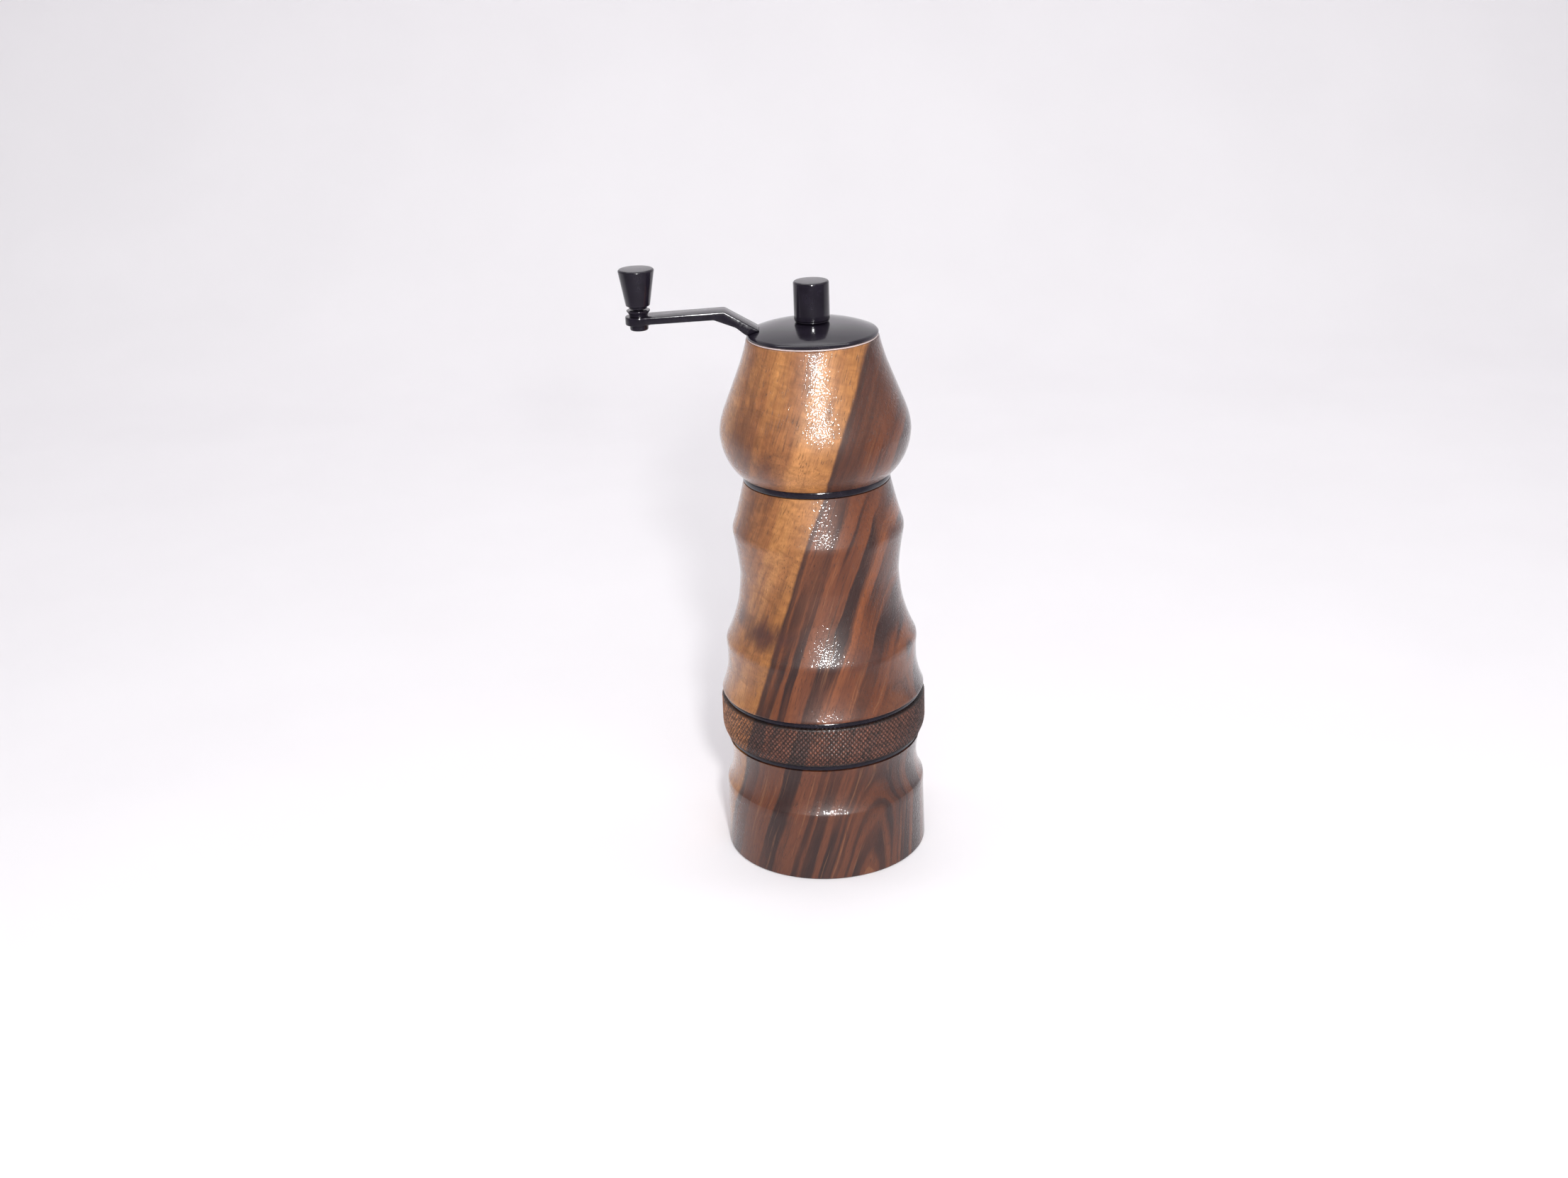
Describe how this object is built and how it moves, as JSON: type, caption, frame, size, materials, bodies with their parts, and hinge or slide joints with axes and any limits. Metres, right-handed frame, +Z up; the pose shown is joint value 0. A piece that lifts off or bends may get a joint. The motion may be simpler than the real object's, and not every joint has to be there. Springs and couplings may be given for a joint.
{
  "type": "hand crank coffee grinder",
  "caption": "Upright hand coffee grinder: turned wooden body in stacked sections, knurled grind adjuster, pull-off grounds cup, domed cap with a cranked arm and knob.",
  "frame": {"origin": "centre of the grinder's flat underside, on its turning axis, where it stands on the table", "axes": "+Z up along the turning axis, -X towards the crank at rest, -Y towards the viewer"},
  "size_m": [0.0977, 0.071, 0.207],
  "materials": {
    "walnut": "figured walnut with pale sapwood, gloss lacquer",
    "knurled_walnut": "walnut with a cut diamond knurl, oiled",
    "black_aluminium": "polished gloss black",
    "grey_aluminium": "machined",
    "steel": "ground stainless steel",
    "burr_steel": "hardened steel with cut teeth",
    "nylon": "smooth pale nylon",
    "rubber": "smooth black rubber"
  },
  "bodies": {
    "grinder": {"main_body": "walnut", "upper_head": "walnut", "neck_ring": "black_aluminium", "mill_housing": "black_aluminium", "lower_collar": "black_aluminium", "cup_seal": "rubber", "glide_washer": "nylon", "click_ball": "steel", "click_spring": "steel", "upper_bridge": "grey_aluminium", "lower_bridge": "grey_aluminium", "upper_bearing_outer_race": "steel", "lower_bearing_outer_race": "steel", "upper_bearing_balls": "steel", "lower_bearing_balls": "steel"},
    "cup": {"grounds_cup": "walnut"},
    "adjuster": {"adjusting_ring": "knurled_walnut", "adjuster_sleeve": "grey_aluminium"},
    "carrier": {"burr_carrier": "grey_aluminium", "ring_burr": "burr_steel", "burr_retaining_ring": "steel"},
    "drive": {"drive_shaft": "steel", "upper_bearing_inner_race": "steel", "lower_bearing_inner_race": "steel", "shaft_circlip": "steel", "preload_spring": "steel", "cone_burr": "burr_steel", "burr_washer": "steel", "burr_nut": "steel"},
    "cap": {"cap_dome": "black_aluminium", "crank_arm": "black_aluminium", "knob_spindle": "black_aluminium", "spindle_nut": "black_aluminium", "knob_snap_ring": "steel"},
    "knob": {"crank_knob": "black_aluminium"},
    "finial_riser": {"finial_collar": "black_aluminium"},
    "finial": {"finial_knob": "black_aluminium"}
  },
  "joints": [
    {"name": "crank_turn", "type": "hinge", "parent": "grinder", "child": "drive", "pos_m": [0, 0, 0.1], "axis": [0, 0, 1], "continuous": true},
    {"name": "cap_lift", "type": "slide", "parent": "drive", "child": "cap", "axis": [0, 0, 1], "range_m": [0, 0.03]},
    {"name": "knob_spin", "type": "hinge", "parent": "cap", "child": "knob", "pos_m": [-0.0563, 0, 0.2], "axis": [0, 0, 1], "continuous": true},
    {"name": "finial_rise", "type": "slide", "parent": "cap", "child": "finial_riser", "axis": [0, 0, 1], "range_m": [0, 0.0112]},
    {"name": "finial_turn", "type": "hinge", "parent": "finial_riser", "child": "finial", "pos_m": [0, 0, 0.19], "axis": [0, 0, 1], "range_deg": [0, 5040]},
    {"name": "grind_adjust", "type": "hinge", "parent": "grinder", "child": "adjuster", "pos_m": [0, 0, 0.05], "axis": [0, 0, 1], "range_deg": [-90, 90]},
    {"name": "burr_slide", "type": "slide", "parent": "grinder", "child": "carrier", "axis": [0, 0, 1], "range_m": [-0.0004, 0.0004]},
    {"name": "cup_pull", "type": "slide", "parent": "grinder", "child": "cup", "axis": [0, 0, -1], "range_m": [0, 0.045]}
  ],
  "couplings": [
    {"joint": "finial_rise", "follows": "finial_turn", "m_per_rad": 0.00012732},
    {"joint": "burr_slide", "follows": "grind_adjust", "m_per_rad": 0.00023873}
  ]
}
